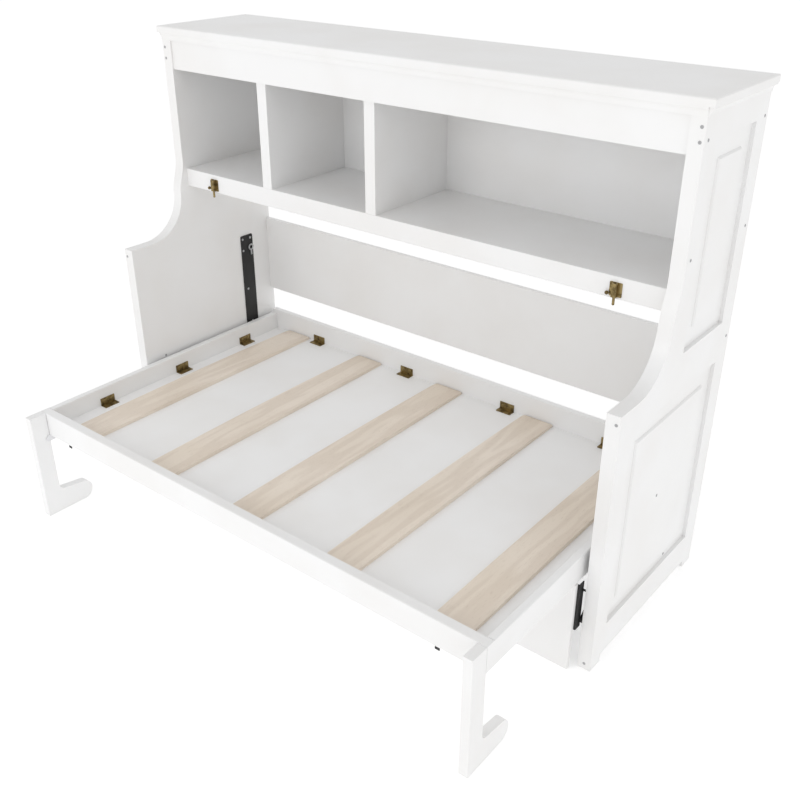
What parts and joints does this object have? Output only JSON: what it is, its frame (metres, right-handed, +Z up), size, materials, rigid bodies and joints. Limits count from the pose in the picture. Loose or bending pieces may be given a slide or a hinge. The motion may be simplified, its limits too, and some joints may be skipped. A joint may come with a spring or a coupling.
{
  "type": "wall_bed",
  "caption": "A side-folding wall bed with a white bookcase cabinet, slatted frame, folding J-shaped legs and brass latches.",
  "frame": {"origin": "On the floor, under the middle of the open bed and cabinet outline. X runs along the bed and Y points to the wall.", "axes": "+X along the bed to the right, +Y to the wall, +Z up"},
  "size_m": [2.146, 1.29, 1.677],
  "materials": {
    "white_board": "white painted wood board, satin",
    "slat_wood": "pale sanded plywood strip",
    "brass": "aged brass plate",
    "black_steel": "black powder coat",
    "white_steel": "white powder coat",
    "bright_steel": "zinc-plated steel",
    "cap_plastic": "pale grey cap"
  },
  "bodies": {
    "cabinet": {"arm_pins": "bright_steel", "crown_board": "white_board", "crown_cove_front": "white_board", "crown_cove_left": "white_board", "crown_cove_right": "white_board", "divider_1": "white_board", "divider_2": "white_board", "fascia": "white_board", "front_panel": "white_board", "hutch_back": "white_board", "latch_plate_left": "brass", "latch_plate_right": "brass", "mid_back_panel": "white_board", "panel_angle_left": "black_steel", "panel_angle_right": "black_steel", "pivot_plate_left": "black_steel", "pivot_plate_right": "black_steel", "rear_plate_eyelets": "bright_steel", "rear_plate_left": "black_steel", "rear_plate_right": "black_steel", "rear_plate_screws": "bright_steel", "shelf_apron": "white_board", "shelf_board": "white_board", "side_left_back_stile": "white_board", "side_left_bottom_rail": "white_board", "side_left_front_stile": "white_board", "side_left_lower_panel": "white_board", "side_left_mid_rail": "white_board", "side_left_top_rail": "white_board", "side_left_upper_panel": "white_board", "side_right_back_stile": "white_board", "side_right_bottom_rail": "white_board", "side_right_front_stile": "white_board", "side_right_lower_panel": "white_board", "side_right_mid_rail": "white_board", "side_right_top_rail": "white_board", "side_right_upper_panel": "white_board", "side_screw_caps": "cap_plastic"},
    "lift_arms": {"lift_arm_left": "black_steel", "lift_arm_right": "black_steel"},
    "bed": {"bed_deck": "white_board", "bed_pins": "bright_steel", "bed_rail_back": "white_board", "bed_rail_front": "white_board", "bed_rail_left": "white_board", "bed_rail_right": "white_board", "deck_bracket_screws": "brass", "deck_brackets": "brass", "leg_bracket_left": "white_steel", "leg_bracket_right": "white_steel", "slat_1": "slat_wood", "slat_2": "slat_wood", "slat_3": "slat_wood", "slat_4": "slat_wood", "slat_5": "slat_wood", "strike_tabs": "black_steel"},
    "leg_left": {"leg_left": "white_board"},
    "leg_right": {"leg_right": "white_board"},
    "latch_bolt_left": {"latch_bolt_left": "brass"},
    "latch_bolt_right": {"latch_bolt_right": "brass"}
  },
  "joints": [
    {"name": "arm_swing", "type": "hinge", "parent": "cabinet", "child": "lift_arms", "pos_m": [0, -0.05, 0.17], "axis": [1, 0, 0], "range_deg": [0, 43.74]},
    {"name": "bed_fold", "type": "hinge", "parent": "lift_arms", "child": "bed", "pos_m": [0, 0.172, 0.379], "axis": [-1, 0, 0], "range_deg": [0, 133.73]},
    {"name": "leg_left_fold", "type": "hinge", "parent": "bed", "child": "leg_left", "pos_m": [-0.9785, -0.589, 0.321], "axis": [1, 0, 0], "range_deg": [0, 62]},
    {"name": "leg_right_fold", "type": "hinge", "parent": "bed", "child": "leg_right", "pos_m": [0.9785, -0.589, 0.321], "axis": [1, 0, 0], "range_deg": [0, 62]},
    {"name": "latch_left_slide", "type": "slide", "parent": "cabinet", "child": "latch_bolt_left", "axis": [0, 0, 1], "range_m": [0, 0.018]},
    {"name": "latch_right_slide", "type": "slide", "parent": "cabinet", "child": "latch_bolt_right", "axis": [0, 0, 1], "range_m": [0, 0.018]}
  ],
  "couplings": [
    {"joint": "arm_swing", "follows": "bed_fold", "ratio": 0.327}
  ]
}
